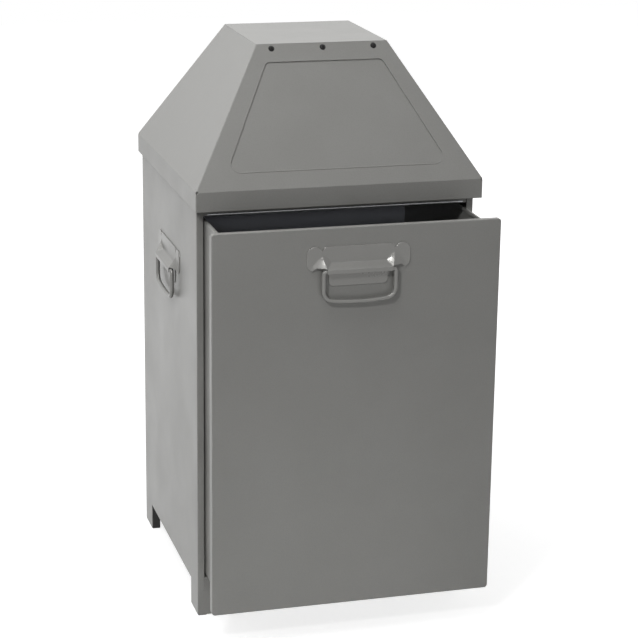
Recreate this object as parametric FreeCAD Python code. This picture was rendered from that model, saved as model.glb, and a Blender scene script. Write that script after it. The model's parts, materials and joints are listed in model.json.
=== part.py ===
import FreeCAD, Part
import math
import os

V = FreeCAD.Vector

# Waste bin in sheet steel: a cabinet with a pyramid hood, a push flap and a pull-out container.
# The origin is on the floor at the centre of the hood. +X is right, -Y is the front, +Z is up.

# Sheet
sheet = 1.2                  # thickness of every steel panel
bend_round = 2.0             # outer radius of the bends that show
weld_gap = 0.2               # room between sheets that are spot welded or seated
hole_room = 0.3              # radial room round a screw
thread_play = 0.02           # radial room between a thread and its nut
same = 1e-6                  # two places nearer than this are the same place

# Hood
hood_width = 450.0           # square base, over the skirt
hood_top_width = 208.0       # square top
hood_height = 890.0          # top of the hood above the floor
crease_height = 692.0        # where the slopes meet the skirt
skirt_drop = 30.0            # height of the skirt
corner_relief = 3.2          # radius of the bend relief at the ends of the creases

# Cabinet
side_overhang = 6.0          # hood past the side panels
front_overhang = 24.0        # hood past the front frame
back_overhang = 6.0          # hood past the back
skirt_lap = 22.0             # cabinet walls reach this far up inside the skirt
front_flange = 10.5          # folded front edge of each side panel
flange_round = 1.5           # outer radius of that fold
back_flange = 12.0           # folded back edge of each side panel
top_flange = 16.0            # folded top edges that carry the hood
rail_height = 34.0           # front rail over the container
base_height = 64.0           # top of the base tray
base_flange = 18.0           # folded edges of the base tray
leg_length = 50.0            # legs left at the corners
leg_height = 45.0            # height of the cut-outs between the legs
flange_start = 42.0          # front flanges end here, above the front legs
floor_gap = 1.5              # steel legs end this far above the floor
foot_width = 13.0            # rubber foot blocks inside the legs
foot_height = 40.0

# Pull-out container
panel_overhang = 3.5         # front panel past the side panels
panel_bottom = 52.0
panel_drop = 10.0            # top of the front panel below the skirt
panel_return = 14.0          # folded edges of the front panel
panel_top_return = 8.0       # narrower fold along its top edge
panel_corner = 5.0           # rounding of the front panel's corners
closing_gap = 1.0            # front panel off the frame when shut
pulled_out = 102.0           # how far the container stands out here
side_clearance = 2.0         # container walls inside the front flanges
rear_clearance = 20.0        # container off the back panel when shut
wall_drop = 9.0              # container walls below the front panel's top
hem_width = 3.0              # folded rim of the container walls
hem_lip = 5.0
runner_spacing = 300.0       # steel strips on the base tray
runner_width = 30.0
runner_height = 4.0
runner_end_gap = 4.0         # runner off the front plinth and the back panel
glide_width = 20.0           # plastic strips under the container
glide_height = 3.0
running_gap = 0.3

# Push flap in the hood's front slope, sizes measured along the slope
opening_below = 28.0         # margin under the opening
opening_above = 30.0         # margin over the opening
opening_side_low = 36.0      # side margin at the bottom of the opening
opening_side_high = 28.0     # side margin at the top of the opening
opening_corner_low = 14.0
opening_corner_high = 8.0
flap_overlap = 9.0           # flap past the opening behind the sheet
flap_gap = 0.6               # flap off the back of the slope when shut
flap_to_pin = 5.5            # top edge of the flap below the hinge pin

# Spring hinge of the flap
pin_above_opening = 8.0      # hinge pin above the opening's top edge
pin_radius = 1.5
pin_play = 0.05              # running fit of the pin
pin_end = 2.0                # pin past the outer knuckles
knuckle_radius = 3.75
knuckle_play = 0.4           # room round a knuckle that turns
knuckle_side_gap = 0.3
leaf_thickness = 1.5
fixed_leaf_top_gap = 3.0     # fixed leaf below the hood's top edge
moving_leaf_height = 28.0
middle_knuckle = 40.0        # widths of the knuckles and springs along the pin
spring_width = 24.0
moving_knuckle = 17.0
hinge_end_gap = 11.0         # hinge short of the hood's top corners at each end
spring_wire = 1.4
spring_play = 0.45           # room between the coil and the pin
spring_room = 0.4            # room between the coil and the slope
spring_pitch = 2.2
hinge_screw_inset = 12.0     # outer screws in from the ends of the hinge
hinge_screw_drop = 8.0       # screws below the hood's top edge
screw_radius = 2.5
screw_head_radius = 4.75
screw_head_height = 2.7
socket_across = 3.0          # hexagon socket in the screw heads
socket_depth = 1.4
nut_across = 8.0
nut_height = 4.0

# Bolts that hold the hood on the cabinet
hood_bolt_spacing = 240.0
bolt_radius = 3.0
bolt_head_across = 10.0
bolt_head_height = 4.0
bolt_nut_height = 5.0
bolt_end = 2.0               # bolt past its nut
hood_frame_thickness = 1.5

# Drop handles
handle_below_top = 64.0      # front handle's pivot below the front panel's top
side_handle_drop = 134.0     # side handles' pivot below the skirt
plate_thickness = 1.5
plate_half_width = 56.0      # stamped plate above the pivot
plate_low_half_width = 46.0  # and its narrower tongue below
plate_above = 36.5           # plate above and below the pivot
plate_below = 24.7
plate_corner = 8.0
lobe_half_width = 80.0       # over the lobes at both ends
lobe_inner = 50.0
lobe_above = 37.0
lobe_below = 1.5
lobe_corner = 12.5
bail_radius = 3.4            # radius of the bail's bar
bail_half_width = 55.5       # middle of the handle to each leg
bail_drop = 47.5             # pivot to the bottom bar
bail_corner = 15.0
bail_shoulder = 4.6
bail_stub = 22.0             # ends turned into the trough
bail_play = 0.08
bail_off = 3.1               # bail's bar off its plate
trough_wall = 1.1            # raised trough over the bail's ends, in front of their bore
trough_floor = 1.8           # and under it
trough_half_height = 3.3     # half the height of the trough's front face
trough_rise = 8.2            # slope from the front face up to the plate
trough_room = 1.5            # trough stops short of the bail's legs
ear_base = 66.0              # gusset ears over the bail's shoulders
ear_top = 25.7
ear_top_half = 62.6
ear_top_rise = 1.0
ear_skirt = 0.8              # room between the ears and the bail's shoulders

# Places worked out from the sizes
hood_half = hood_width / 2
top_half = hood_top_width / 2
skirt_bottom = crease_height - skirt_drop
slope_run = hood_half - top_half
slope_rise = hood_height - crease_height
slope_length = math.hypot(slope_run, slope_rise)
slope_angle = math.degrees(math.atan2(slope_rise, slope_run))
slope_inset = sheet * slope_length / slope_rise

body_half = hood_half - side_overhang
body_front = -hood_half + front_overhang
body_back = hood_half - back_overhang
body_top = skirt_bottom + skirt_lap
flange_edge = body_half - front_flange
inner_half = body_half - sheet
inner_front = body_front + sheet
back_outer = body_back - sheet
back_inner = back_outer - sheet
top_edge = inner_half - top_flange
base_under = base_height - sheet
bolt_across = inner_half - top_flange / 2
bolt_along = hood_bolt_spacing / 2

panel_half = body_half + panel_overhang
panel_top = skirt_bottom - panel_drop
panel_shut = body_front - closing_gap - panel_return
panel_front = panel_shut - pulled_out
panel_back = panel_front + sheet
wall_outer = flange_edge - side_clearance
wall_top = panel_top - wall_drop
container_back = back_inner - rear_clearance - pulled_out
glide_bottom = base_height + runner_height + running_gap
floor_bottom = glide_bottom + glide_height
floor_top = floor_bottom + sheet

opening_top = slope_length - opening_above
pin_place = opening_top + pin_above_opening
spring_outer = pin_radius + spring_play + spring_wire
pin_depth = sheet + max(knuckle_radius, spring_outer + spring_room)
turning_radius = max(knuckle_radius, spring_outer) + knuckle_play
moving_radius = knuckle_radius - flap_gap + weld_gap
flap_front = sheet + flap_gap
flap_back = flap_front + sheet
hinge_half = top_half - hinge_end_gap
hinge_screw_spacing = hinge_half - hinge_screw_inset
cut_reach = 2 * sheet

pivot_off = plate_thickness + bail_off + bail_radius
trough_front = pivot_off + bail_radius + trough_wall
trough_below = bail_radius + trough_floor
trough_half = bail_half_width - max(bail_shoulder, bail_radius + trough_room)
trough_top = trough_half_height + trough_rise


def box(x0, x1, y0, y1, z0, z1):
    """A block between two corners."""
    return Part.makeBox(x1 - x0, y1 - y0, z1 - z0, V(x0, y0, z0))


def fuse(*shapes):
    """Join the shapes of one piece into one solid."""
    return shapes[0].fuse(list(shapes[1:])).removeSplitter()


def prism(points, along):
    """A straight prism on a flat outline."""
    outline = Part.makePolygon([V(*p) for p in points] + [V(*points[0])])
    return Part.Face(outline).extrude(V(*along))


def faceted(facets):
    """A solid between flat facets, each given by its corners."""
    faces = []
    for facet in facets:
        corners = [V(*p) for p in facet]
        faces.append(Part.Face(Part.makePolygon(corners + corners[:1])))
    solid = Part.makeSolid(Part.makeShell(faces))
    if solid.Volume < 0:
        solid.reverse()
    return solid


def cylinder(radius, start, end):
    """A round bar between two points."""
    axis = V(*end) - V(*start)
    return Part.makeCylinder(radius, axis.Length, V(*start), axis)


def hexagon(across, start, end):
    """A six-sided bar between two points, sized across its flats."""
    axis = V(*end) - V(*start)
    radius = across / math.sqrt(3)
    turns = [math.radians(60 * i) for i in range(6)]
    corners = [(radius * math.cos(a), radius * math.sin(a), 0) for a in turns]
    bar = prism(corners, (0, 0, axis.Length))
    bar.Placement = FreeCAD.Placement(V(*start), FreeCAD.Rotation(V(0, 0, 1), axis))
    return bar


def edges_where(shape, test):
    """The straight edges whose two end points pass a test."""
    found = []
    for edge in shape.Edges:
        ends = [v.Point for v in edge.Vertexes]
        if len(ends) == 2 and all(test(p) for p in ends):
            found.append(edge)
    return found


def edges_along(shape, axis):
    """The straight edges that run along an axis, given as 0, 1 or 2."""
    found = []
    for edge in shape.Edges:
        if len(edge.Vertexes) == 2:
            step = edge.Vertexes[1].Point - edge.Vertexes[0].Point
            if abs(abs(step[axis]) - step.Length) < same:
                found.append(edge)
    return found


def rounded_plate(x0, x1, z0, z1, y0, y1, radius):
    """An upright plate with its four corners rounded."""
    plate = box(x0, x1, y0, y1, z0, z1)
    return plate.makeFillet(radius, edges_along(plate, 1))


def mirrored(shape):
    """The same piece for the other side of the object."""
    return shape.mirror(V(0, 0, 0), V(1, 0, 0))


def on_slope(shape):
    """Carry a shape from flat slope coordinates (x, up the slope, outward) to the front slope."""
    placed = shape.copy()
    placed.rotate(V(0, 0, 0), V(1, 0, 0), slope_angle)
    placed.translate(V(0, -hood_half, crease_height))
    return placed


def save(name, shape):
    """Write one node."""
    shape.exportStep("parts/" + name + ".step")


# Cabinet

def left_side_panel():
    """Side wall folded in at the front, back and top, cut out between its legs."""
    wall = box(-body_half, -inner_half, body_front, body_back, floor_gap, body_top)
    cut_out = box(-body_half, -inner_half, body_front + leg_length, body_back - leg_length, 0, leg_height)
    wall = wall.cut(cut_out)
    front = box(-body_half, -flange_edge, body_front, inner_front, flange_start, body_top)
    back = box(-body_half, -body_half + back_flange, back_outer, body_back, floor_gap, body_top)
    top_front = inner_front + sheet + weld_gap
    top = box(-inner_half, -top_edge, top_front, back_inner - weld_gap, body_top - sheet, body_top)
    panel = fuse(wall, front, back, top)
    for y in (-bolt_along, bolt_along):
        panel = panel.cut(hood_bolt_hole(y))

    def on_front_bend(p):
        return abs(p.x + body_half) < same and abs(p.y - body_front) < same

    return panel.makeFillet(flange_round, edges_where(panel, on_front_bend))


def back_panel():
    """Back wall between the side panels' folded edges, with its own folded top."""
    half = inner_half - weld_gap
    wall = box(-half, half, back_inner, back_outer, floor_gap, body_top)
    cut_out = box(-body_half + leg_length, body_half - leg_length, back_inner, back_outer, 0, leg_height)
    lip_half = top_edge - weld_gap
    lip = box(-lip_half, lip_half, back_inner - top_flange, back_inner, body_top - sheet, body_top)
    return fuse(wall.cut(cut_out), lip)


def base_tray():
    """Cabinet floor with its edges folded down."""
    half = inner_half - weld_gap
    front = inner_front + weld_gap
    back = back_inner - weld_gap
    plate = box(-half, half, front, back, base_under, base_height)
    fold_bottom = base_under - base_flange
    folds = []
    for x in (-half, half - sheet):
        folds.append(box(x, x + sheet, front + leg_length, back - leg_length, fold_bottom, base_under))
    return fuse(plate, *folds)


def front_plinth():
    """Front rail under the container, with the two front legs."""
    y = (body_front, inner_front)
    half = inner_half - weld_gap
    upper_half = flange_edge - weld_gap
    upper = box(-upper_half, upper_half, y[0], y[1], flange_start, base_under)
    lower = box(-half, half, y[0], y[1], floor_gap, flange_start - weld_gap)
    joint = box(-upper_half, upper_half, y[0], y[1], flange_start - weld_gap, flange_start)
    cut_out = box(-body_half + leg_length, body_half - leg_length, y[0], y[1], 0, leg_height)
    return fuse(upper, joint, lower).cut(cut_out)


def front_top_rail():
    """Rail behind the front flanges, over the container."""
    half = inner_half - weld_gap
    web = box(-half, half, inner_front, inner_front + sheet, body_top - rail_height, body_top)
    lip_half = top_edge - weld_gap
    lip_back = inner_front + top_flange
    lip = box(-lip_half, lip_half, inner_front, lip_back, body_top - sheet, body_top)
    return fuse(web, lip)


def runner():
    """Left steel strip that the container slides on."""
    x0 = -(runner_spacing + runner_width) / 2
    front = inner_front + runner_end_gap
    back = back_inner - runner_end_gap
    return box(x0, x0 + runner_width, front, back, base_height, base_height + runner_height)


def foot_blocks():
    """Rubber blocks inside the four legs."""
    outer = inner_half - weld_gap
    front = inner_front + weld_gap
    back = back_inner - weld_gap
    spans = ((front, body_front + leg_length), (body_back - leg_length, back))
    blocks = []
    for y0, y1 in spans:
        for x in (-outer, outer - foot_width):
            blocks.append(box(x, x + foot_width, y0, y1, 0, foot_height))
    return Part.makeCompound(blocks)


# Hood

def pyramid(half_low, half_high, z0, z1):
    """A square pyramid cut off at the top."""
    rings = []
    for half, z in ((half_low, z0), (half_high, z1)):
        rings.append([(-half, -half, z), (half, -half, z), (half, half, z), (-half, half, z)])
    low, high = rings
    slopes = [(low[i - 1], low[i], high[i], high[i - 1]) for i in range(4)]
    return faceted([low, high] + slopes)


def hood_shell():
    """The whole hood as one folded shell, before it is parted along its welded corners."""
    skirt = box(-hood_half, hood_half, -hood_half, hood_half, skirt_bottom, crease_height)
    outer = fuse(skirt, pyramid(hood_half, top_half, crease_height, hood_height))
    corners = [v.Point for v in outer.Vertexes]
    inner_skirt = hood_half - sheet
    rise_per_run = slope_rise / slope_run
    inner_crease = crease_height - (slope_inset - sheet) * rise_per_run
    inner_top = hood_height - sheet
    inner_top_half = top_half - slope_inset + sheet / rise_per_run
    hollow = fuse(
        box(-inner_skirt, inner_skirt, -inner_skirt, inner_skirt, skirt_bottom, inner_crease),
        pyramid(inner_skirt, inner_top_half, inner_crease, inner_top),
    )
    shell = outer.cut(hollow).cut(slope_cuts())
    bends = edges_where(shell, lambda p: any(p.isEqual(c, same) for c in corners))
    bends = [e for e in bends if max(v.Point.z for v in e.Vertexes) > skirt_bottom + same]
    shell = shell.makeFillet(bend_round, bends)
    for x in (-hood_half, hood_half):
        for y in (-hood_half, hood_half):
            shell = shell.cut(Part.makeSphere(corner_relief, V(x, y, crease_height)))
    return shell


def hood_side(shell, turn):
    """One slope of the hood with its skirt, parted at the corners; turn 0 is the front."""
    reach = 2 * hood_half
    wedge = prism(
        [(0, 0, skirt_bottom), (reach, -reach, skirt_bottom), (-reach, -reach, skirt_bottom)],
        (0, 0, hood_height - sheet - skirt_bottom),
    )
    wedge.rotate(V(0, 0, 0), V(0, 0, 1), turn)
    return shell.common(wedge)


def slope_half(place):
    """Half the width of the front slope at a place up the slope."""
    return hood_half - place * slope_run / slope_length


def opening_half(place):
    """Half the width of the flap opening, carried on in a straight line past its ends."""
    low = slope_half(opening_below) - opening_side_low
    high = slope_half(opening_top) - opening_side_high
    return low + (high - low) * (place - opening_below) / (opening_top - opening_below)


def slope_plate(low, high, spread, corner_low, corner_high, z0, z1):
    """A tapered plate with rounded corners, in slope coordinates, spread past the opening's sides."""
    slant = (opening_half(low) - opening_half(high)) / (high - low)
    extra = spread * math.hypot(1, slant)
    half_low = opening_half(low) + extra
    half_high = opening_half(high) + extra
    outline = [(-half_low, low, z0), (half_low, low, z0), (half_high, high, z0), (-half_high, high, z0)]
    plate = prism(outline, (0, 0, z1 - z0))
    for place, corner in ((low, corner_low), (high, corner_high)):
        upright = [e for e in edges_along(plate, 2) if abs(e.Vertexes[0].Point.y - place) < same]
        plate = plate.makeFillet(corner, upright)
    return plate


def hinge_screw_places():
    """Places of the three hinge screws across and up the slope."""
    place = slope_length - hinge_screw_drop
    return [(i * hinge_screw_spacing, place) for i in (-1, 0, 1)]


def slope_cuts():
    """What is cut out of the front slope: the flap opening and the holes of the hinge screws."""
    cuts = [slope_plate(
        opening_below, opening_top, 0, opening_corner_low, opening_corner_high, -cut_reach, cut_reach)]
    for x, place in hinge_screw_places():
        cuts.append(cylinder(screw_radius + hole_room, (x, place, -cut_reach), (x, place, cut_reach)))
    return [on_slope(cut) for cut in cuts]


def hood_top(shell):
    """Flat top of the hood."""
    return shell.common(box(-hood_half, hood_half, -hood_half, hood_half, hood_height - sheet, hood_height))


def hood_bolt_hole(y):
    """Clearance hole for one left hood bolt through the flange and the hood frame."""
    x = -bolt_across
    z0 = body_top - sheet
    return cylinder(bolt_radius + hole_room, (x, y, z0), (x, y, body_top + hood_frame_thickness))


def hood_frame():
    """Flat ring welded inside the skirt that seats the hood on the cabinet's folded top edges."""
    outer = hood_half - sheet
    z1 = body_top + hood_frame_thickness
    ring = box(-outer, outer, -outer, outer, body_top, z1)
    front = inner_front + top_flange
    back = back_inner - top_flange
    ring = ring.cut(box(-top_edge, top_edge, front, back, body_top, z1))
    for y in (-bolt_along, bolt_along):
        hole = hood_bolt_hole(y)
        ring = ring.cut(hole).cut(mirrored(hole))
    return ring


def hood_bolts():
    """Four bolts through the hood frame, heads up."""
    seat = body_top + hood_frame_thickness
    end = body_top - sheet - bolt_nut_height - bolt_end
    bolts = []
    for x in (-bolt_across, bolt_across):
        for y in (-bolt_along, bolt_along):
            head = hexagon(bolt_head_across, (x, y, seat), (x, y, seat + bolt_head_height))
            bolts.append(fuse(head, cylinder(bolt_radius, (x, y, end), (x, y, seat))))
    return Part.makeCompound(bolts)


def hood_nuts():
    """Nuts of the hood bolts, under the folded top edges."""
    seat = body_top - sheet
    low = seat - bolt_nut_height
    nuts = []
    for x in (-bolt_across, bolt_across):
        for y in (-bolt_along, bolt_along):
            nut = hexagon(bolt_head_across, (x, y, low), (x, y, seat))
            nuts.append(nut.cut(cylinder(bolt_radius + thread_play, (x, y, low), (x, y, seat))))
    return Part.makeCompound(nuts)


# Push flap and its spring hinge, drawn in slope coordinates

def hinge_stations():
    """Places along the pin where the middle knuckle, the springs and the moving knuckles end."""
    middle = middle_knuckle / 2
    spring = middle + spring_width
    return middle, spring, spring + moving_knuckle


def pin_bar(radius, x0, x1):
    """A round bar on the hinge pin's axis."""
    return cylinder(radius, (x0, pin_place, -pin_depth), (x1, pin_place, -pin_depth))


def both_sides(make, x0, x1):
    """The same span of the pin on the left and on the right."""
    return [make(x0, x1), make(-x1, -x0)]


def fixed_leaf():
    """Leaf screwed behind the slope, with the middle and outer knuckles."""
    middle, spring, moving = hinge_stations()
    top = slope_length - fixed_leaf_top_gap
    leaf = box(-hinge_half, hinge_half, pin_place, top, -sheet - leaf_thickness, -sheet)
    knuckles = [pin_bar(knuckle_radius, -middle, middle)]
    knuckles += both_sides(lambda a, b: pin_bar(knuckle_radius, a, b), moving, hinge_half)
    leaf = leaf.cut(both_sides(lambda a, b: pin_bar(turning_radius, a, b), middle, moving))
    leaf = fuse(leaf, *knuckles).cut(pin_bar(pin_radius + pin_play, -hinge_half, hinge_half))
    for x, place in hinge_screw_places():
        hole = cylinder(screw_radius + hole_room, (x, place, -pin_depth), (x, place, 0))
        leaf = leaf.cut(hole)
    return on_slope(leaf)


def moving_leaf():
    """Leaf spot welded to the back of the flap, with the two moving knuckles."""
    middle, spring, moving = hinge_stations()
    edge = moving - knuckle_side_gap
    low = pin_place - moving_leaf_height
    leaf = box(-edge, edge, low, pin_place, -flap_back - leaf_thickness, -flap_back)
    inner = spring + knuckle_side_gap
    leaf = leaf.cut(pin_bar(turning_radius, -inner, inner))
    knuckles = both_sides(lambda a, b: pin_bar(moving_radius, a, b), inner, edge)
    leaf = fuse(leaf, *knuckles).cut(pin_bar(pin_radius + pin_play, -edge, edge))
    return on_slope(leaf)


def hinge_pin():
    """Pin through all the knuckles."""
    end = hinge_half + pin_end
    return on_slope(pin_bar(pin_radius, -end, end))


def flap_spring():
    """Left closing spring: one wire wound round the pin between two knuckles."""
    middle, spring, moving = hinge_stations()
    coil_radius = spring_outer - spring_wire / 2
    start = middle + knuckle_side_gap + spring_wire / 2
    end = spring - knuckle_side_gap - spring_wire / 2
    helix = Part.makeHelix(spring_pitch, end - start, coil_radius)
    wire_section = Part.Wire(Part.makeCircle(spring_wire / 2, V(coil_radius, 0, 0), V(0, 1, 0)))
    coil = Part.Wire(helix.Edges).makePipeShell([wire_section], True, True)
    coil.rotate(V(0, 0, 0), V(0, 1, 0), -90)
    coil.translate(V(-start, pin_place, -pin_depth))
    return on_slope(coil)


def hinge_screws():
    """Three round-headed screws through the slope and the fixed leaf."""
    screws = []
    end = -sheet - leaf_thickness - nut_height
    crown = screw_head_height
    ball_radius = (screw_head_radius ** 2 + crown ** 2) / (2 * crown)
    for x, place in hinge_screw_places():
        ball = Part.makeSphere(ball_radius, V(x, place, crown - ball_radius))
        head = ball.common(cylinder(screw_head_radius, (x, place, 0), (x, place, crown)))
        socket = hexagon(socket_across, (x, place, crown - socket_depth), (x, place, crown))
        shank = cylinder(screw_radius, (x, place, end), (x, place, 0))
        screws.append(on_slope(fuse(head.cut(socket), shank)))
    return Part.makeCompound(screws)


def hinge_nuts():
    """Nuts behind the fixed leaf."""
    seat = -sheet - leaf_thickness
    low = seat - nut_height
    nuts = []
    for x, place in hinge_screw_places():
        nut = hexagon(nut_across, (x, place, low), (x, place, seat))
        nut = nut.cut(cylinder(screw_radius + thread_play, (x, place, low), (x, place, seat)))
        nuts.append(on_slope(nut))
    return Part.makeCompound(nuts)


def flap_panel():
    """Push flap behind the opening, larger than it at the sides and the bottom."""
    low = opening_below - flap_overlap
    high = pin_place - flap_to_pin
    corner = opening_corner_low + flap_overlap
    plate = slope_plate(low, high, flap_overlap, corner, opening_corner_high, -flap_back, -flap_front)
    return on_slope(plate)


# Pull-out container

def drawer_front():
    """Front panel folded back on all four sides, narrower along the top and notched there at the corners."""
    back = panel_front + panel_return
    outer = rounded_plate(-panel_half, panel_half, panel_bottom, panel_top, panel_front, back, panel_corner)
    face_edges = []
    for edge in outer.Edges:
        if all(abs(v.Point.y - panel_front) < same for v in edge.Vertexes):
            face_edges.append(edge)
    outer = outer.makeFillet(bend_round, face_edges)
    half = panel_half - sheet
    hollow = rounded_plate(
        -half, half, panel_bottom + sheet, panel_top - sheet, panel_back, back, panel_corner - sheet)
    notch = box(
        -panel_half, panel_half, panel_front + panel_top_return, back, panel_top - panel_corner, panel_top)
    return outer.cut(hollow).cut(notch)


def container_left_wall():
    """Left container wall with its folded rim."""
    inner = wall_outer - sheet
    back = container_back - sheet
    wall = box(-wall_outer, -inner, panel_back, back, floor_bottom, wall_top)
    rim = box(-wall_outer, -inner + hem_width, panel_back, back, wall_top - sheet, wall_top)
    lip_x = -inner + hem_width
    lip = box(lip_x - sheet, lip_x, panel_back, back, wall_top - hem_lip, wall_top)
    panel = fuse(wall, rim, lip)

    def on_rim(p):
        return abs(p.x + wall_outer) < same and abs(p.z - wall_top) < same

    return panel.makeFillet(bend_round, edges_where(panel, on_rim))


def container_back_wall():
    """Back container wall with its folded rim."""
    front = container_back - sheet
    wall = box(-wall_outer, wall_outer, front, container_back, floor_bottom, wall_top)
    half = wall_outer - sheet - hem_width - weld_gap
    rim = box(-half, half, front - hem_width, front, wall_top - sheet, wall_top)
    lip = box(-half, half, front - hem_width, front - hem_width + sheet, wall_top - hem_lip, wall_top)
    return fuse(wall, rim, lip)


def container_floor():
    """Container bottom, between the walls."""
    half = wall_outer - sheet
    return box(-half, half, panel_back, container_back - sheet, floor_bottom, floor_top)


def glide():
    """Left plastic strip under the container."""
    x0 = -(runner_spacing + glide_width) / 2
    front = panel_back + panel_return
    return box(x0, x0 + glide_width, front, container_back, glide_bottom, floor_bottom)


# Drop handles, drawn for the front with the pivot at height 0 and the carrying face at y = 0

def ear(side):
    """Gusset ear over one shoulder of the bail, as a solid between flat facets."""
    low = bail_radius + ear_skirt
    base = -plate_thickness / 2
    floor = [
        (trough_half, base, low),
        (ear_base, base, low),
        (ear_top_half, base, ear_top),
        (trough_half, base, trough_top),
    ]
    ridge_low = (trough_half, -trough_front, low)
    ridge_high = (ear_top_half, -plate_thickness - ear_top_rise, ear_top)
    facets = [
        floor,
        [floor[0], floor[1], ridge_low],
        [floor[1], floor[2], ridge_high],
        [floor[1], ridge_high, ridge_low],
        [floor[2], floor[3], ridge_high],
        [floor[3], ridge_low, ridge_high],
        [floor[3], floor[0], ridge_low],
    ]
    return faceted([[(side * x, y, z) for x, y, z in facet] for facet in facets])


def handle_plate():
    """Stamped plate: flat middle and lobes, with a raised trough over the pivot and ears at its ends."""
    face = -plate_thickness
    half = plate_half_width
    middle = rounded_plate(-half, half, 0, plate_above, face, 0, plate_corner)
    half = plate_low_half_width
    tongue = rounded_plate(-half, half, -plate_below, plate_above, face, 0, plate_corner)
    lobes = []
    for x0, x1 in ((-lobe_half_width, -lobe_inner), (lobe_inner, lobe_half_width)):
        lobes.append(rounded_plate(x0, x1, -lobe_below, lobe_above, face, 0, lobe_corner))
    outline = [
        (-trough_half, face / 2, trough_top),
        (-trough_half, -trough_front, trough_half_height),
        (-trough_half, -trough_front, -trough_half_height),
        (-trough_half, -pivot_off, -trough_below),
        (-trough_half, face / 2, -trough_below),
    ]
    trough = prism(outline, (2 * trough_half, 0, 0))
    ridge = [e for e in edges_along(trough, 0) if abs(e.Vertexes[0].Point.y + trough_front) < same]
    trough = trough.makeFillet(bend_round, ridge)
    bore = cylinder(bail_radius + bail_play, (-trough_half, -pivot_off, 0), (trough_half, -pivot_off, 0))
    plate = fuse(middle, tongue, *lobes, trough, ear(-1), ear(1))
    return plate.cut(bore)


def bail():
    """Bent bar with its two ends turned into the trough."""
    y = -pivot_off
    leg = bail_half_width
    stub = trough_half - bail_stub
    path = [
        (-stub, 0, 0),
        (-leg, 0, bail_shoulder),
        (-leg, -bail_drop, bail_corner),
        (leg, -bail_drop, bail_corner),
        (leg, 0, bail_shoulder),
        (stub, 0, 0),
    ]
    edges = []
    start = V(path[0][0], y, path[0][1])
    for before, here, after in zip(path, path[1:], path[2:]):
        corner = V(here[0], y, here[1])
        way_in = (corner - V(before[0], y, before[1])).normalize()
        way_out = (V(after[0], y, after[1]) - corner).normalize()
        radius = here[2]
        arc_start = corner - way_in * radius
        arc_end = corner + way_out * radius
        centre = corner - way_in * radius + way_out * radius
        middle = centre + (corner - centre).normalize() * radius
        edges.append(Part.LineSegment(start, arc_start).toShape())
        edges.append(Part.Arc(arc_start, middle, arc_end).toShape())
        start = arc_end
    edges.append(Part.LineSegment(start, V(path[-1][0], y, path[-1][1])).toShape())
    section = Part.Wire(Part.makeCircle(bail_radius, V(-stub, y, 0), V(1, 0, 0)))
    return Part.Wire(edges).makePipeShell([section], True, True)


def handle_at(shape, turn, place):
    """Turn a handle piece to face its wall and move its pivot there."""
    placed = shape.copy()
    placed.rotate(V(0, 0, 0), V(0, 0, 1), turn)
    placed.translate(V(*place))
    return placed


os.makedirs("parts", exist_ok=True)

left_wall = left_side_panel()
save("left_side_panel", left_wall)
save("right_side_panel", mirrored(left_wall))
save("back_panel", back_panel())
save("base_tray", base_tray())
save("front_plinth", front_plinth())
save("front_top_rail", front_top_rail())
save("left_runner", runner())
save("right_runner", mirrored(runner()))
save("foot_blocks", foot_blocks())

whole_hood = hood_shell()
save("hood_front", hood_side(whole_hood, 0))
save("hood_right", hood_side(whole_hood, 90))
save("hood_back", hood_side(whole_hood, 180))
save("hood_left", hood_side(whole_hood, 270))
save("hood_top", hood_top(whole_hood))
save("hood_frame", hood_frame())
save("hood_bolts", hood_bolts())
save("hood_nuts", hood_nuts())

save("hinge_fixed_leaf", fixed_leaf())
save("hinge_moving_leaf", moving_leaf())
save("hinge_pin", hinge_pin())
save("hinge_screws", hinge_screws())
save("hinge_nuts", hinge_nuts())
left_spring = flap_spring()
save("flap_spring_left", left_spring)
save("flap_spring_right", mirrored(left_spring))
save("flap_panel", flap_panel())

left_container_wall = container_left_wall()
save("drawer_front", drawer_front())
save("container_left_wall", left_container_wall)
save("container_right_wall", mirrored(left_container_wall))
save("container_back_wall", container_back_wall())
save("container_floor", container_floor())
save("left_glide", glide())
save("right_glide", mirrored(glide()))

handle_places = {
    "front": (0, (0, panel_front, panel_top - handle_below_top)),
    "left": (-90, (-body_half, 0, skirt_bottom - side_handle_drop)),
    "right": (90, (body_half, 0, skirt_bottom - side_handle_drop)),
}
stamped_plate = handle_plate()
bent_bail = bail()
for wall, (turn, place) in handle_places.items():
    save(wall + "_handle_plate", handle_at(stamped_plate, turn, place))
    save(wall + "_handle_bail", handle_at(bent_bail, turn, place))
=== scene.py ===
import json
import math

import bmesh
import bpy
import numpy as np
from mathutils import Matrix, Vector


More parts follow.
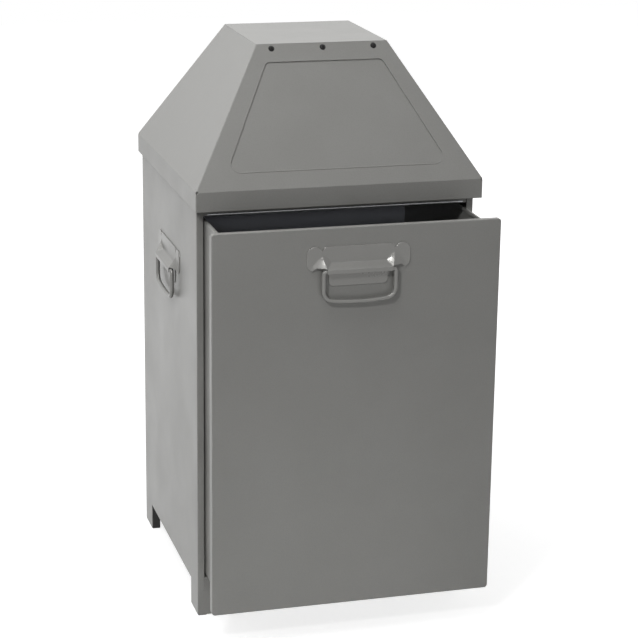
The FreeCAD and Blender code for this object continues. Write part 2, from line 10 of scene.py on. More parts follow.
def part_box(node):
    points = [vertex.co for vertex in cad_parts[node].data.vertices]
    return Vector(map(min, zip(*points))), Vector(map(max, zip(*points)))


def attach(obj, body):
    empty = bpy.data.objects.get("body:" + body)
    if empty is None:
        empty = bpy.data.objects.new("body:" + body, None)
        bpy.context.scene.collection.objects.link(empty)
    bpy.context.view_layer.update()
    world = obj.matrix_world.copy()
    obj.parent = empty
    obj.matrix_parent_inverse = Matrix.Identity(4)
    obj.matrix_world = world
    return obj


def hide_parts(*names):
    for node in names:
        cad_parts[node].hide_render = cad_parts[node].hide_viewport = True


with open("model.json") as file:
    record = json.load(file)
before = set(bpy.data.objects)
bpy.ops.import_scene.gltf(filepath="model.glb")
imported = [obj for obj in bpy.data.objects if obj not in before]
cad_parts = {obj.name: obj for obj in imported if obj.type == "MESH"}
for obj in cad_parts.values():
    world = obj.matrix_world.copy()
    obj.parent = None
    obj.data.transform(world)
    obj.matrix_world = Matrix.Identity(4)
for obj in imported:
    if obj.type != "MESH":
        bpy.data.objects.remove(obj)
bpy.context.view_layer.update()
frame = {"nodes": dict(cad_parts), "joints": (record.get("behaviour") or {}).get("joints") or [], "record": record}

# Free-standing sheet-steel waste bin: finishes, stamped drop handles, light and camera.
# Everything is in metres in the frame's own axes: +X right, -Y front, +Z up, the floor at 0.
# New pieces are drawn in millimetres and scaled as they are placed.
MM = 0.001

# Camera, where the photograph was taken from
IMAGE_SIZE = 638
FOCAL_PIXELS = 2062.0
SENSOR_MM = 36.0
CAMERA_PLACE = (-0.861, -3.129, 1.391)
CAMERA_YAW = math.radians(-15.91)
CAMERA_PITCH = math.radians(16.70)
CAMERA_ROLL = math.radians(0.78)

# Stamped handle plate, across from its middle and up from the bail's pivot
SHEET = 1.5                  # thickness of the plate where it lies flat
ROOF_SHEET = 1.0             # thinner where it is drawn out over the bail's ends
EDGE_ROUND = 1.0             # rolled edge of the stamping
PLATE_HALF = 56.0
PLATE_TOP = 36.5
PLATE_CORNER = 8.0
TONGUE_HALF = 46.0           # narrower tongue below the trough
TONGUE_CORNER = 7.0
LOBE_CENTRE = 67.5           # round lobes at both ends
LOBE_RADIUS = 12.5
LOBE_TOP = 37.0
LOBE_BOTTOM = -1.5
LOBE_RAMP_START = 65.0       # lobe's lower edge falls away from the ear's lip
LOBE_RAMP = 0.75
TROUGH_HALF = 50.6           # trough over the bail's turned-in ends
TROUGH_FRONT = 12.5
TROUGH_LIP = -3.3
TROUGH_BEND = 3.3            # where the front face bends back into the slope
TROUGH_TOP = 11.5            # where the slope meets the plate
TROUGH_POCKET = 9.0          # how far up the trough is hollow
POCKET_LIFT = 4.0            # lift of the front at which the hollow has its full depth
EAR_LIP = 4.2                # lower edge of the ears, just over the bail's shoulders
EAR_FOOT = 51.5              # where the crest of an ear starts at its lip
EAR_LEAN = (4.7, 20.0)       # direction of the crest, across and up
EAR_HEIGHT = 10.7            # crest over the plate at the lip
EAR_LENGTH = 18.3            # along the crest until it has run out
EAR_END_SOFT = 0.25          # softness of that end, as a share of the length
EAR_INNER = 13.5             # width of the straight flank towards the middle
EAR_OUTER = 28.0             # width of the hollow flank towards the lobe
EAR_HOLLOW = 1.22            # power that hollows it
EAR_CREST_SOFT = 0.10        # softness of the crest, as a share of its height
EAR_TAPER = 0.7              # how much narrower both are at the end
EAR_ROLL = 1.5               # from the trough until the ear's lip is fully rolled
BEND_SOFT = 2.0              # softness of the pressed bends
STRETCH_MAX = 4.0            # limit of a rolled edge's height where the outline is steep

# Grid of the stamping: columns from its middle to its end, rows round its section
EDGE_STEPS = np.array((0.0, 0.1, 0.3, 0.6, 1.0))
TONGUE_LEVEL = (0.0, 36.0, 7)        # first and last column and their number, level part
TONGUE_ROUND = (37.0, 44.5, 12)      # the same towards its round corner
TROUGH_COLUMNS = 8
EAR_COLUMNS = 60
LOBE_LAST = 1.5                      # last even column, in from the lobe's end
TONGUE_ROWS = 12
POCKET_ROWS = 6
ROOF_ROWS = 8
FACE_ROWS = 12
FRONT_ROWS = 56

# Bail
BAIL_CORNER = 15.0
BAIL_SHOULDER = 4.6
BAIL_BOW = 350.0             # radius of the slightly bowed grip
BAIL_STUB_END = 28.6
BAIL_STEPS = (13, 19, 13)    # points on the shoulder, the corner and half of the bow
BAIL_SIDES = 28

# Lip on the lower edge of the flap opening, measured up the hood's front slope from its crease
CREASE = 692.0               # height of the crease over the skirt
OPENING_UP = 28.0            # lower edge of the opening
OPENING_SIDE = 36.0          # from its lower corners to the hood's edges
OPENING_CORNER = 14.0
OPENING_SLANT = math.radians(64.6)
LIP_RADIUS = 1.1
LIP_DEPTH = 0.5              # its middle below the outer face
LIP_END = 0.3                # how thin it ends, as a share
LIP_STEPS = 24
LIP_SIDES = 16

# Bright strip along the lower edge of the front rail
TRIM_HEIGHT = 3.6
TRIM_OUT = 1.6
TRIM_COLUMNS = 24
TRIM_STEPS = 17

# Mesh cleaning in m, and the angles in degrees past which an edge stays sharp
MERGE_WITHIN = 2e-6
SLIVER = 1e-6
PLATE_SHARP = 38.0
BAIL_SHARP = 60.0
STRIP_SHARP = 50.0

# Walls with a handle: the body that carries the plate and the turn about +Z from the front
HANDLES = {"front": ("container", 0.0), "left": ("cabinet", -90.0), "right": ("cabinet", 90.0)}

# Powder coat
BEND_RADIUS = 0.001          # how far the coat rounds the edges of the sheet, in m
BEND_SAMPLES = 6
MIDDLE = (0.3, 0.7)          # span of a noise that holds most of its values
SPECK_SPAN = (0.45, 0.75)    # span of the grain that shows as specks
SPECK_SHARE = 0.30           # how far they reach towards their own tone
SPECK_TONE = 0.72            # that tone, as a share of the coat's darker one
GLOSS_VARIES = 0.05
PEEL_DEPTH = 0.0005

# Zinc plating
ZINC_SPAN = (0.0, 0.6)       # span of crystals times lines
ZINC_GLOSS = (-0.06, 0.10)   # how its roughness varies

# Soft boxes: place, the point they face, width and height, all in m, and power in W
SOFT_BOXES = {
    "key_box": ((-1.15, -1.73, 1.96), (0.0, -0.3, 0.58), (0.25, 0.25), 17.5),
    "front_box": ((-0.6, -3.4, 1.47), (0.0, -0.2, 0.6), (1.4, 0.2), 6.5),
    "crease_box": ((0.69, -2.1, 2.14), (0.0, -0.2, 0.65), (0.9, 0.2), 1.0),
    "low_box": ((-0.55, -2.6, 0.22), (-0.06, -0.32, 0.04), (0.5, 0.15), 0.2),
    "left_back_box": ((-2.2, 1.8, 2.4), (0.0, 0.0, 0.6), (3.0, 2.4), 40.0),
    "top_box": ((-0.7, -0.7, 3.0), (0.0, -0.1, 0.5), (1.6, 1.2), 29.0),
    "top_back_box": ((0.5, 1.6, 2.8), (0.0, 0.0, 0.8), (2.4, 2.0), 20.0),
    "right_back_box": ((2.6, 1.4, 1.2), (0.0, 0.0, 0.5), (3.0, 2.0), 30.0),
}
GRIDS = {"low_box": 0.42}    # a grid narrows the box's light to this angle, in radians

# Floor
FLOOR_HALF = 6.0
FLOOR_TONE = 0.5             # what the object is lit by from below
SHADOW_TONE = 0.45           # what takes the shadow as the camera sees it
FLOOR_GLOW = (0.80, 1.0)     # glow towards the camera, near the object and far from it
GLOW_SPAN = (0.5, 1.4)       # distances from the middle for those, in m
WHITE = (1.0, 1.0, 1.0, 1.0)


def add_camera():
    """A camera turned by yaw about +Z, pitched down and rolled about its own axis."""
    ahead = Vector((
        -math.sin(CAMERA_YAW) * math.cos(CAMERA_PITCH),
        math.cos(CAMERA_YAW) * math.cos(CAMERA_PITCH),
        -math.sin(CAMERA_PITCH),
    ))
    level = Vector((math.cos(CAMERA_YAW), math.sin(CAMERA_YAW), 0.0))
    upward = level.cross(ahead)
    right = math.cos(CAMERA_ROLL) * level + math.sin(CAMERA_ROLL) * upward
    up = math.cos(CAMERA_ROLL) * upward - math.sin(CAMERA_ROLL) * level
    turned = Matrix((right, up, -ahead)).transposed().to_4x4()
    data = bpy.data.cameras.new("camera")
    data.sensor_width = SENSOR_MM
    data.lens = FOCAL_PIXELS * SENSOR_MM / IMAGE_SIZE
    camera = bpy.data.objects.new("camera", data)
    camera.matrix_world = Matrix.Translation(CAMERA_PLACE) @ turned
    bpy.context.scene.collection.objects.link(camera)
    bpy.context.scene.camera = camera


# Meshes

def smooth_min(a, b, soft):
    """The lower of two surfaces, with the crease between them rounded over a span of soft."""
    near = np.maximum(soft - np.abs(a - b), 0.0) / soft
    return np.minimum(a, b) - near * near * soft / 4


def smooth_max(a, b, soft):
    """The higher of two surfaces, with the crease between them filled over a span of soft."""
    return -smooth_min(-a, -b, soft)


def loop_faces(columns, rows):
    """Quads of a grid of closed loops laid side by side, and one face over each end."""
    i = np.arange(columns - 1)[:, None] * rows
    j = np.arange(rows)[None, :]
    following = (j + 1) % rows
    quads = np.stack([i + j, i + following, i + rows + following, i + rows + j], axis=-1)
    first = list(range(rows))
    last = list(range(columns * rows - rows, columns * rows))
    return quads.reshape(-1, 4).tolist() + [first[::-1], last]


def add_piece(name, points, finish, sharp_degrees):
    """A closed mesh over a grid of loops, with merged doubles and outward faces.

    It is shaded smooth where the faces meet at less than an angle.
    """
    mesh = bpy.data.meshes.new(name)
    mesh.from_pydata(points.reshape(-1, 3).tolist(), [], loop_faces(*points.shape[:2]))
    made = bmesh.new()
    made.from_mesh(mesh)
    bmesh.ops.remove_doubles(made, verts=made.verts, dist=MERGE_WITHIN)
    bmesh.ops.dissolve_degenerate(made, edges=made.edges, dist=SLIVER)
    bmesh.ops.recalc_face_normals(made, faces=made.faces)
    made.to_mesh(mesh)
    made.free()
    mesh.polygons.foreach_set("use_smooth", np.ones(len(mesh.polygons), dtype=bool))
    mesh.set_sharp_from_angle(angle=math.radians(sharp_degrees))
    mesh.materials.append(finish)
    piece = bpy.data.objects.new(name, mesh)
    bpy.context.scene.collection.objects.link(piece)
    return piece


# Drop handles

def joint_place(name):
    """The place of a joint in the frame, in m."""
    return np.array(next(j for j in frame["joints"] if j["name"] == name)["pos_m"])


def handle_placer(wall, turn):
    """A function that carries points (across, outward, up, in mm) to the wall with the handle.

    The foot of the handle is on the carrying face, which is the inner side of the plate's box, at
    the height of the bail's pivot.
    """
    low, high = (np.array(corner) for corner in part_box(wall + "_handle_plate"))
    angle = math.radians(turn)
    along = np.array((math.cos(angle), math.sin(angle), 0.0))
    outward = np.array((math.sin(angle), -math.cos(angle), 0.0))
    upward = np.array((0.0, 0.0, 1.0))
    middle = (along @ low + along @ high) / 2
    foot = along * middle + outward * min(outward @ low, outward @ high)
    foot += upward * joint_place(wall + "_bail_hinge")[2]
    axes = np.stack([along, outward, upward])
    return lambda points: foot + MM * points @ axes


def edge_drop(inset):
    """How far a rolled edge has fallen at a distance in from the outline: a quarter circle."""
    left = np.clip(EDGE_ROUND - inset, 0.0, EDGE_ROUND)
    return EDGE_ROUND - np.sqrt(EDGE_ROUND ** 2 - left ** 2)


def arc_rise(offset, radius):
    """Height of a circle over its centre at a sideways offset."""
    return np.sqrt(np.maximum(radius ** 2 - offset ** 2, 0.0))


def arc_stretch(offset, radius):
    """How much longer a step square to a circle becomes when it is taken straight up."""
    return radius / np.maximum(arc_rise(offset, radius), radius / STRETCH_MAX)


def plate_top(across):
    """Upper outline: the plate with round corners, or the round lobe where that is higher."""
    corner = np.clip(across - PLATE_HALF + PLATE_CORNER, 0.0, PLATE_CORNER)
    plate = PLATE_TOP - PLATE_CORNER + arc_rise(corner, PLATE_CORNER)
    plate = np.where(across > PLATE_HALF, -np.inf, plate)
    beside = across - LOBE_CENTRE
    lobe = LOBE_TOP - LOBE_RADIUS + arc_rise(beside, LOBE_RADIUS)
    on_lobe = lobe > plate
    stretch = np.where(on_lobe, arc_stretch(beside, LOBE_RADIUS), arc_stretch(corner, PLATE_CORNER))
    return np.where(on_lobe, lobe, plate), stretch


def ear_lip(across):
    """Lower outline of the ears: level at the lip, then a ramp and the lobe's round end."""
    beyond = np.maximum(across - LOBE_CENTRE, 0.0)
    lobe = LOBE_BOTTOM + LOBE_RADIUS - arc_rise(beyond, LOBE_RADIUS)
    ramp = EAR_LIP - LOBE_RAMP * np.maximum(across - LOBE_RAMP_START, 0.0)
    on_lobe = lobe > ramp
    stretch = np.where(on_lobe, arc_stretch(beyond, LOBE_RADIUS), math.hypot(1.0, LOBE_RAMP))
    return np.where(on_lobe, lobe, ramp), stretch


def stamped_front(across, up, in_trough):
    """How far the front of the stamping stands out.

    The trough is a level front face that bends into a straight slope. An ear is a leaning ridge:
    its height and width fall along the crest, and at a distance e from the crest it is
    1 - e / width of its height on the straight flank, and a power of that on the hollow flank.
    The flat plate is the floor of both.
    """
    slope = (TROUGH_FRONT - SHEET) / (TROUGH_TOP - TROUGH_BEND)
    trough = smooth_min(TROUGH_FRONT, TROUGH_FRONT - slope * (up - TROUGH_BEND), BEND_SOFT)
    trough = np.where(in_trough, trough, 0.0)
    reach = math.hypot(*EAR_LEAN)
    lean_across, lean_up = EAR_LEAN[0] / reach, EAR_LEAN[1] / reach
    rise = np.maximum(up - EAR_LIP, 0.0)
    along = (across - EAR_FOOT) * lean_across + rise * lean_up
    aside = (across - EAR_FOOT) * lean_up - rise * lean_across
    left = smooth_max(1 - along / EAR_LENGTH, 0.0, EAR_END_SOFT)
    narrow = 1 - EAR_TAPER + EAR_TAPER * left
    straight = 1 + aside / (EAR_INNER * narrow)
    hollow = np.maximum(1 - aside / (EAR_OUTER * narrow), 0.0) ** EAR_HOLLOW
    ear = EAR_HEIGHT * left * np.maximum(smooth_min(straight, hollow, EAR_CREST_SOFT), 0.0)
    return smooth_max(SHEET + ear, smooth_max(trough, SHEET, BEND_SOFT), BEND_SOFT / 2)


def spans(start, end, count):
    """Even steps from one array of places to another, as a row for each place."""
    return start + (end - start) * np.linspace(0.0, 1.0, count)


def handle_plate_points():
    """The stamping as closed loops side by side across the handle.

    Each loop runs up the tongue's face, in under the trough or ear, back out along the roof's
    inside to the lip, up the front to the top edge and down the flat back.
    """
    edge = EDGE_ROUND * EDGE_STEPS
    lobe_end = LOBE_CENTRE + LOBE_RADIUS
    tongue = np.concatenate([
        np.linspace(*TONGUE_LEVEL), np.linspace(*TONGUE_ROUND), TONGUE_HALF - edge[::-1]])
    trough = np.linspace(TONGUE_HALF, TROUGH_HALF, TROUGH_COLUMNS)
    ear = np.concatenate([
        np.linspace(TROUGH_HALF, lobe_end - LOBE_LAST, EAR_COLUMNS), lobe_end - edge[::-1]])
    across = np.concatenate([tongue, trough, ear])[:, None]
    column = np.arange(len(across))[:, None]
    has_tongue = column < len(tongue)
    under_trough = column < len(tongue) + len(trough)
    in_trough = across <= TROUGH_HALF

    top, top_stretch = plate_top(across)
    lip, lip_stretch = ear_lip(across)
    lip = np.where(under_trough, TROUGH_LIP, lip)
    start = np.where(under_trough, EAR_LIP, lip)
    lift = stamped_front(across, start, in_trough) - SHEET - ROOF_SHEET
    pocket = start + (TROUGH_POCKET - EAR_LIP) * np.clip(lift / POCKET_LIFT, 0.0, 1.0)
    corner = np.clip(across - TONGUE_HALF + TONGUE_CORNER, 0.0, TONGUE_CORNER)
    tongue_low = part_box("front_handle_plate")[0][2] - joint_place("front_bail_hinge")[2]
    tongue_low = tongue_low / MM + TONGUE_CORNER - arc_rise(corner, TONGUE_CORNER)
    low = np.where(has_tongue, tongue_low, pocket)
    tongue_stretch = arc_stretch(corner, TONGUE_CORNER)
    floor = np.where(has_tongue, SHEET - edge_drop(TONGUE_HALF - across), 0.0)
    side_drop = edge_drop(lobe_end - across)

    tongue_edge = np.where(has_tongue, low + edge * tongue_stretch, pocket)
    tongue_edge_out = np.where(has_tongue, floor - edge_drop(edge), 0.0)
    tongue_face = spans(low + EDGE_ROUND * tongue_stretch, pocket, TONGUE_ROWS)
    tongue_face = np.where(has_tongue, tongue_face, pocket)
    roof = np.concatenate([spans(pocket, start, POCKET_ROWS), spans(start, lip, ROOF_ROWS)], axis=1)
    roof_out = stamped_front(across, roof, in_trough) - ROOF_SHEET
    lip_roll = np.clip((across - TROUGH_HALF) / EAR_ROLL, 0.0, 1.0)
    face = spans(lip, start, FACE_ROWS)
    face_drop = lip_roll * edge_drop(face - lip)
    rolled = start + edge * lip_stretch
    rolled_drop = np.maximum(lip_roll * edge_drop(edge), side_drop)
    front = spans(start + EDGE_ROUND * lip_stretch, top - EDGE_ROUND * top_stretch, FRONT_ROWS)
    top_edge = top - edge[::-1] * top_stretch
    top_drop = np.maximum(edge_drop(edge[::-1]), side_drop)

    up = [low, tongue_edge, tongue_face, roof, face, rolled, front, top_edge, top]
    out = [
        np.zeros_like(low),
        np.maximum(tongue_edge_out, 0.0),
        np.broadcast_to(floor, tongue_face.shape),
        np.maximum(roof_out, floor),
        stamped_front(across, face, in_trough) - face_drop,
        stamped_front(across, rolled, in_trough) - rolled_drop,
        stamped_front(across, front, in_trough) - side_drop,
        stamped_front(across, top_edge, in_trough) - top_drop,
        np.zeros_like(top),
    ]
    up = np.concatenate(up, axis=1)
    out = np.concatenate(out, axis=1)
    half = np.stack([np.broadcast_to(across, up.shape), out, up], axis=-1)
    mirrored = half[:0:-1] * np.array((-1.0, 1.0, 1.0))
    return np.concatenate([mirrored, half])


def bail_points(radius, half, drop, off):
    """A round bar carried along the bail's centre line, as closed rings.

    The line is a straight stub, a quarter circle at the shoulder, a straight leg, a round corner
    and a shallow bow, and the same mirrored. Angles are measured from +across, and the section
    turns about the line in its own plane.
    """
    centre = half - BAIL_CORNER
    bow_half = math.asin(centre / (BAIL_BOW - BAIL_CORNER))
    bow_start = bow_half - math.pi / 2
    corner_up = -drop + BAIL_BOW * (1 - math.cos(bow_half)) + BAIL_CORNER * math.cos(bow_half)
    shoulder_turn = np.linspace(math.pi / 2, 0.0, BAIL_STEPS[0])
    corner_turn = np.linspace(0.0, bow_start, BAIL_STEPS[1])
    bow_turn = np.linspace(bow_start, -math.pi / 2, BAIL_STEPS[2])[1:]
    turn = np.concatenate([shoulder_turn[:1], shoulder_turn, corner_turn, bow_turn])
    counts = (1 + len(shoulder_turn), len(corner_turn), len(bow_turn))
    arc_across = np.repeat((half - BAIL_SHOULDER, centre, 0.0), counts)
    arc_across[0] = BAIL_STUB_END
    arc_up = np.repeat((-BAIL_SHOULDER, corner_up, BAIL_BOW - drop), counts)
    bend = np.repeat((BAIL_SHOULDER, BAIL_CORNER, BAIL_BOW), counts)[:, None]
    side = np.stack([np.cos(turn), np.sin(turn)], axis=-1)
    line = np.stack([arc_across, arc_up], axis=-1) + bend * side
    flip = np.array((-1.0, 1.0))
    line = np.concatenate([line, line[-2::-1] * flip])
    side = np.concatenate([side, side[-2::-1] * flip])
    angle = np.linspace(0.0, 2 * math.pi, BAIL_SIDES, endpoint=False)
    across = line[:, :1] + radius * side[:, :1] * np.cos(angle)
    up = line[:, 1:] + radius * side[:, 1:] * np.cos(angle)
    out = off + radius * np.broadcast_to(np.sin(angle), up.shape)
    return np.stack([across, out, up], axis=-1)


def add_handles(finish):
    """A stamped plate and a bent bail for each wall that has a handle."""
    plate = handle_plate_points()
    for wall, (body, turn) in HANDLES.items():
        points = handle_placer(wall, turn)(plate)
        piece = add_piece(wall + "_handle_stamping", points, finish, PLATE_SHARP)
        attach(piece, body)
        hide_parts(wall + "_handle_plate")

    low, high = (np.array(corner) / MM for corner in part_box("front_handle_bail"))
    pivot = joint_place("front_bail_hinge") / MM
    radius = (high[1] - low[1]) / 2
    half = (high[0] - low[0]) / 2 - radius
    drop = pivot[2] - low[2] - radius
    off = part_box("front_handle_plate")[1][1] / MM - pivot[1]
    bail = bail_points(radius, half, drop, off)
    for wall, (_, turn) in HANDLES.items():
        points = handle_placer(wall, turn)(bail)
        piece = add_piece(wall + "_handle_bar", points, finish, BAIL_SHARP)
        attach(piece, wall + "_bail")
        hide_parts(wall + "_handle_bail")


# Edges of the sheet

def add_opening_lip(finish):
    """Rolled lip on the lower edge of the flap opening, thinning out round its lower corners.

    On the slope the line is a round corner, a straight edge and the mirrored corner. A circle is
    carried along it, spanned by the way in to the opening and the slope's own outward direction.
    """
    half = -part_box("hood_front")[0][1] / MM
    top = np.array(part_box("hood_top")[1]) / MM
    rise = np.array((0.0, half - top[1], top[2] - CREASE))
    rise /= np.linalg.norm(rise)
    outward = np.array((0.0, -rise[2], rise[1]))
    corner = half - rise[1] * OPENING_UP - OPENING_SIDE
    corner -= OPENING_CORNER / math.tan(OPENING_SLANT / 2)
    turn = np.linspace(math.pi / 2 + OPENING_SLANT, 1.5 * math.pi, LIP_STEPS)
    inward = -np.stack([np.cos(turn), np.sin(turn)], axis=-1)
    line = np.array((-corner, OPENING_UP + OPENING_CORNER)) - OPENING_CORNER * inward
    thick = LIP_RADIUS * np.linspace(LIP_END, 1.0, LIP_STEPS)
    flip = np.array((-1.0, 1.0))
    line = np.concatenate([line, line[::-1] * flip])
    inward = np.concatenate([inward, inward[::-1] * flip])
    thick = np.concatenate([thick, thick[::-1]])[:, None]
    angle = np.linspace(0.0, 2 * math.pi, LIP_SIDES, endpoint=False)
    across = line[:, :1] + thick * inward[:, :1] * np.cos(angle)
    up = line[:, 1:] + thick * inward[:, 1:] * np.cos(angle)
    out = thick * np.sin(angle) - LIP_DEPTH
    crease = np.array((0.0, -half, CREASE))
    along = np.array((1.0, 0.0, 0.0))
    points = crease + across[..., None] * along + up[..., None] * rise + out[..., None] * outward
    lip = add_piece("opening_lip", MM * points, finish, STRIP_SHARP)
    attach(lip, "cabinet")


def add_rail_trim(finish):
    """Half-round strip along the lower edge of the front rail, between the panels' flanges."""
    rail = np.array(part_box("front_top_rail")[0]) / MM
    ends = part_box("left_side_panel")[1][0] / MM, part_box("right_side_panel")[0][0] / MM
    angle = np.linspace(0.0, math.pi, TRIM_STEPS)
    across = np.linspace(*ends, TRIM_COLUMNS)[:, None]
    out = rail[1] - TRIM_OUT * np.sin(angle)
    up = rail[2] + TRIM_HEIGHT / 2 * (1 - np.cos(angle))
    points = np.stack(np.broadcast_arrays(across, out, up), axis=-1)
    trim = add_piece("rail_trim", MM * points, finish, STRIP_SHARP)
    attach(trim, "cabinet")


# Materials

class Nodes:
    """Short calls for building a node tree."""

    def __init__(self, tree):
        self.tree = tree
        self.tree.nodes.clear()

    def add(self, kind, inputs=None, **settings):
        """A node with its settings, and its inputs linked or set."""
        node = self.tree.nodes.new(kind)
        for name, value in settings.items():
            setattr(node, name, value)
        for name, value in (inputs or {}).items():
            self.put(node.inputs[name], value)
        return node

    def put(self, socket, value):
        """Link a socket to another one, or set its own value."""
        if isinstance(value, bpy.types.NodeSocket):
            self.tree.links.new(value, socket)
        else:
            socket.default_value = value

    def math(self, operation, first, second):
        """What an operation, such as MULTIPLY, makes of two values."""
        return self.add("ShaderNodeMath", {0: first, 1: second}, operation=operation).outputs[0]

    def object_place(self, stretch=(1.0, 1.0, 1.0)):
        """Object coordinates, stretched along the axes."""
        place = self.add("ShaderNodeTexCoord").outputs["Object"]
        made = self.add("ShaderNodeMapping", {"Vector": place, "Scale": stretch})
        return made.outputs["Vector"]

    def noise(self, place, scale, detail, roughness):
        """Cloudy noise, 0 to 1, with scale features to the metre of the place it reads."""
        inputs = {"Vector": place, "Scale": scale, "Detail": detail, "Roughness": roughness}
        return self.add("ShaderNodeTexNoise", inputs).outputs["Fac"]

    def cells(self, place, scale):
        """A different even value in each cell of a random mosaic."""
        made = self.add("ShaderNodeTexVoronoi", {"Vector": place, "Scale": scale})
        return self.add("ShaderNodeSeparateColor", {"Color": made.outputs["Color"]}).outputs[0]

    def spread(self, value, low, high, span=(0.0, 1.0)):
        """Carry a value from a span over to the span low to high."""
        inputs = {"Value": value, "To Min": low, "To Max": high}
        inputs["From Min"], inputs["From Max"] = span
        return self.add("ShaderNodeMapRange", inputs).outputs["Result"]

    def mix(self, factor, first, second):
        """A colour between two others."""
        made = self.add("ShaderNodeMix", data_type="RGBA")
        for name, value in (("Factor", factor), ("A", first), ("B", second)):
            self.put(next(s for s in made.inputs if s.name == name and s.enabled), value)
        return next(s for s in made.outputs if s.enabled)

    def bump(self, height, distance, strength, below=None):
        """Normals of a rough surface, on top of other normals where those are given."""
        inputs = {"Height": height, "Distance": distance, "Strength": strength}
        if below is not None:
            inputs["Normal"] = below
        return self.add("ShaderNodeBump", inputs).outputs["Normal"]

    def finish(self, **inputs):
        """The shader, with an underscore for each space in the names of its inputs."""
        inputs = {name.replace("_", " "): value for name, value in inputs.items()}
        shader = self.add("ShaderNodeBsdfPrincipled", inputs)
        self.add("ShaderNodeOutputMaterial", {"Surface": shader.outputs["BSDF"]})


def new_material(name):
    """An empty material, and the short calls for its node tree."""
    material = bpy.data.materials.new(name)
    material.use_nodes = True
    return material, Nodes(material.node_tree)


def rgb(*values):
    """A colour with its opacity."""
    return (*values, 1.0)


def powder_coat(name, dark, light, gloss, peel, flake=0.0):
    """Satin powder coat: soft mottling, a fine grain and the orange peel of the cured powder.

    Gloss is the middle of its roughness and peel the strength of the orange peel. Flake is the
    share of aluminium flakes in the coat, which give it a metallic sheen.
    """
    material, nodes = new_material(name)
    place = nodes.object_place()
    cloud = nodes.noise(place, scale=9.0, detail=5.0, roughness=0.62)
    grain = nodes.noise(place, scale=900.0, detail=2.0, roughness=0.6)
    peel_height = nodes.noise(place, scale=520.0, detail=1.0, roughness=0.4)
    tone = nodes.mix(nodes.spread(cloud, 0.0, 1.0, MIDDLE), rgb(*dark), rgb(*light))
    speck = nodes.spread(grain, 0.0, SPECK_SHARE, SPECK_SPAN)
    bend = nodes.add("ShaderNodeBevel", {"Radius": BEND_RADIUS}, samples=BEND_SAMPLES)
    nodes.finish(
        Base_Color=nodes.mix(speck, tone, rgb(*(SPECK_TONE * v for v in dark))),
        Roughness=nodes.spread(cloud, gloss - GLOSS_VARIES, gloss + GLOSS_VARIES, MIDDLE),
        Metallic=flake,
        Normal=nodes.bump(peel_height, PEEL_DEPTH, peel, bend.outputs["Normal"]),
    )
    return material


def zinc_plating(name, dark, light, gloss):
    """Bright zinc over rolled steel: a faint mosaic of crystals and fine lines along the sheet."""
    material, nodes = new_material(name)
    crystal = nodes.cells(nodes.object_place(), scale=420.0)
    along_sheet = nodes.object_place(stretch=(30.0, 900.0, 900.0))
    lines = nodes.noise(along_sheet, scale=1.0, detail=3.0, roughness=0.6)
    blend = nodes.math("MULTIPLY", crystal, lines)
    tone = nodes.spread(blend, 0.0, 1.0, ZINC_SPAN)
    smoother, rougher = (gloss + change for change in ZINC_GLOSS)
    nodes.finish(
        Base_Color=nodes.mix(tone, rgb(*dark), rgb(*light)),
        Metallic=1.0,
        Roughness=nodes.spread(blend, smoother, rougher, ZINC_SPAN),
        Normal=nodes.bump(lines, distance=0.0001, strength=0.25),
    )
    return material


def oiled_wire(name):
    """Hard-drawn spring wire, dark with oil in patches."""
    material, nodes = new_material(name)
    stain = nodes.noise(nodes.object_place(), scale=240.0, detail=4.0, roughness=0.6)
    along_wire = nodes.object_place(stretch=(40.0, 1500.0, 1500.0))
    drawn = nodes.noise(along_wire, scale=1.0, detail=2.0, roughness=0.5)
    nodes.finish(
        Base_Color=nodes.mix(stain, rgb(0.22, 0.21, 0.20), rgb(0.46, 0.46, 0.47)),
        Metallic=1.0,
        Roughness=nodes.spread(stain, low=0.24, high=0.42),
        Normal=nodes.bump(drawn, distance=0.00005, strength=0.3),
    )
    return material


def black_oxide(name):
    """Blackened screw: nearly black, slightly browned in patches, with a dull oily sheen."""
    material, nodes = new_material(name)
    patch = nodes.noise(nodes.object_place(), scale=700.0, detail=3.0, roughness=0.6)
    nodes.finish(
        Base_Color=nodes.mix(patch, rgb(0.004, 0.004, 0.005), rgb(0.012, 0.011, 0.010)),
        Roughness=nodes.spread(patch, low=0.30, high=0.45),
        Specular_IOR_Level=0.2,
        Normal=nodes.bump(patch, distance=0.00005, strength=0.2),
    )
    return material


def moulded_rubber(name):
    """Matt black rubber with a fine moulded grain and a grey bloom. Its black is partly the rubber's own colour
    and partly painted shade for the dark inside of the feet, where the blocks sit.
    """
    material, nodes = new_material(name)
    bloom = nodes.noise(nodes.object_place(), scale=60.0, detail=4.0, roughness=0.6)
    grain = nodes.noise(nodes.object_place(), scale=1600.0, detail=2.0, roughness=0.5)
    nodes.finish(
        # Near-black base: the rubber's own colour, and also painted shade for the inside of the feet.
        Base_Color=nodes.mix(bloom, rgb(0.014, 0.014, 0.014), rgb(0.034, 0.033, 0.032)),
        Roughness=nodes.spread(bloom, low=0.72, high=0.88),
        Normal=nodes.bump(grain, distance=0.0002, strength=0.35),
    )
    return material


def natural_nylon(name):
    """Milky nylon with faint flow streaks along the strip and rubbed, shinier patches."""
    material, nodes = new_material(name)
    along_strip = nodes.object_place(stretch=(500.0, 18.0, 500.0))
    flow = nodes.noise(along_strip, scale=1.0, detail=3.0, roughness=0.6)
    rub = nodes.noise(nodes.object_place(), scale=90.0, detail=3.0, roughness=0.5)
    nodes.finish(
        Base_Color=nodes.mix(flow, rgb(0.66, 0.64, 0.58), rgb(0.74, 0.73, 0.69)),
        Roughness=nodes.spread(rub, low=0.36, high=0.56, span=MIDDLE),
        Normal=nodes.bump(flow, distance=0.0001, strength=0.2),
    )
    return material


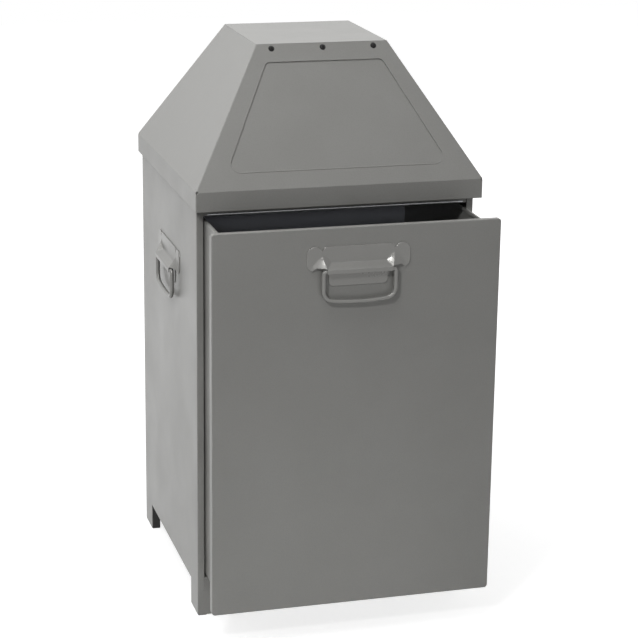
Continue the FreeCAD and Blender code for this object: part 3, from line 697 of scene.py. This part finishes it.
def make_finishes():
    """One finish for each material slot of the record."""
    return {
        "grey_paint": powder_coat(
            "grey_paint_coat", dark=(0.262, 0.260, 0.247), light=(0.282, 0.280, 0.268),
            gloss=0.36, peel=0.20),
        "handle_paint": powder_coat(
            "handle_paint_coat", dark=(0.225, 0.223, 0.213), light=(0.245, 0.243, 0.232),
            gloss=0.32, peel=0.05, flake=0.35),
        "zinc_steel": zinc_plating(
            "zinc_steel_plating", dark=(0.54, 0.55, 0.57), light=(0.66, 0.67, 0.69), gloss=0.36),
        "spring_steel": oiled_wire("spring_steel_wire"),
        "black_screw": black_oxide("black_screw_oxide"),
        "black_rubber": moulded_rubber("black_rubber_and_shade_block"),
        "glide_plastic": natural_nylon("glide_plastic_nylon"),
    }


def apply_finishes(finishes):
    """Give each carried-over node the finish of its slot.

    The container's back wall has a paler, bluer copy of the same paint: painted light in a bluish tint, which
    brightens it in the shade under the hood.
    """
    # Paler, bluer copy of the grey paint: painted light with a painted bluish tint for the shaded back wall.
    inner = powder_coat(
        "grey_paint_painted_light_coat", dark=(0.45, 0.47, 0.53), light=(0.48, 0.50, 0.56),
        gloss=0.45, peel=0.20)
    for part in frame["record"]["subparts"]:
        node = frame["nodes"][part["node"]]
        node.data.materials.clear()
        inside = part["node"] == "container_back_wall"
        node.data.materials.append(inner if inside else finishes[part["material_slot"]])


# Light and floor

def seen_directly(nodes):
    """1 for camera, mirror and glass rays, 0 for the rays that light the object."""
    path = nodes.add("ShaderNodeLightPath").outputs
    seen = nodes.math("MAXIMUM", path["Is Camera Ray"], path["Is Glossy Ray"])
    return nodes.math("MAXIMUM", seen, path["Is Transmission Ray"])


def add_world():
    """A world that is plain white to the camera, mirrors and glass, and gives no light itself."""
    world = bpy.data.worlds.new("studio")
    world.use_nodes = True
    bpy.context.scene.world = world
    nodes = Nodes(world.node_tree)
    inputs = {"Color": WHITE, "Strength": seen_directly(nodes)}
    background = nodes.add("ShaderNodeBackground", inputs)
    nodes.add("ShaderNodeOutputWorld", {"Surface": background.outputs[0]})


def add_soft_boxes():
    """Rectangular lamps that face a point."""
    for name, (place, target, (width, height), power) in SOFT_BOXES.items():
        data = bpy.data.lights.new(name, "AREA")
        data.shape = "RECTANGLE"
        data.size = width
        data.size_y = height
        data.energy = power
        data.spread = GRIDS.get(name, math.pi)
        lamp = bpy.data.objects.new(name, data)
        lamp.visible_camera = False
        turned = (Vector(place) - Vector(target)).to_track_quat("Z", "Y").to_matrix().to_4x4()
        lamp.matrix_world = Matrix.Translation(place) @ turned
        bpy.context.scene.collection.objects.link(lamp)


def add_floor():
    """A wide pale floor that is white to the camera, but keeps the object's shadow near it."""
    far = FLOOR_HALF
    corners = [(-far, -far, 0.0), (far, -far, 0.0), (far, far, 0.0), (-far, far, 0.0)]
    mesh = bpy.data.meshes.new("floor")
    mesh.from_pydata(corners, [], [(0, 1, 2, 3)])
    floor = bpy.data.objects.new("floor", mesh)
    bpy.context.scene.collection.objects.link(floor)
    material, nodes = new_material("floor_white")
    measure = nodes.add("ShaderNodeVectorMath", {0: nodes.object_place()}, operation="LENGTH")
    level = nodes.spread(measure.outputs["Value"], *FLOOR_GLOW, GLOW_SPAN)
    glow = nodes.add("ShaderNodeEmission", {"Color": WHITE, "Strength": level})
    matt, shaded = (
        nodes.add("ShaderNodeBsdfDiffuse", {"Color": rgb(tone, tone, tone)}).outputs[0]
        for tone in (FLOOR_TONE, SHADOW_TONE))
    both = nodes.add("ShaderNodeAddShader", {0: shaded, 1: glow.outputs[0]}).outputs[0]
    mixed = nodes.add("ShaderNodeMixShader", {0: seen_directly(nodes), 1: matt, 2: both})
    nodes.add("ShaderNodeOutputMaterial", {"Surface": mixed.outputs[0]})
    mesh.materials.append(material)


add_camera()
finishes = make_finishes()
apply_finishes(finishes)
add_handles(finishes["handle_paint"])
add_opening_lip(finishes["grey_paint"])
add_rail_trim(finishes["zinc_steel"])
add_world()
add_soft_boxes()
add_floor()
bpy.context.scene.view_settings.view_transform = "Standard"
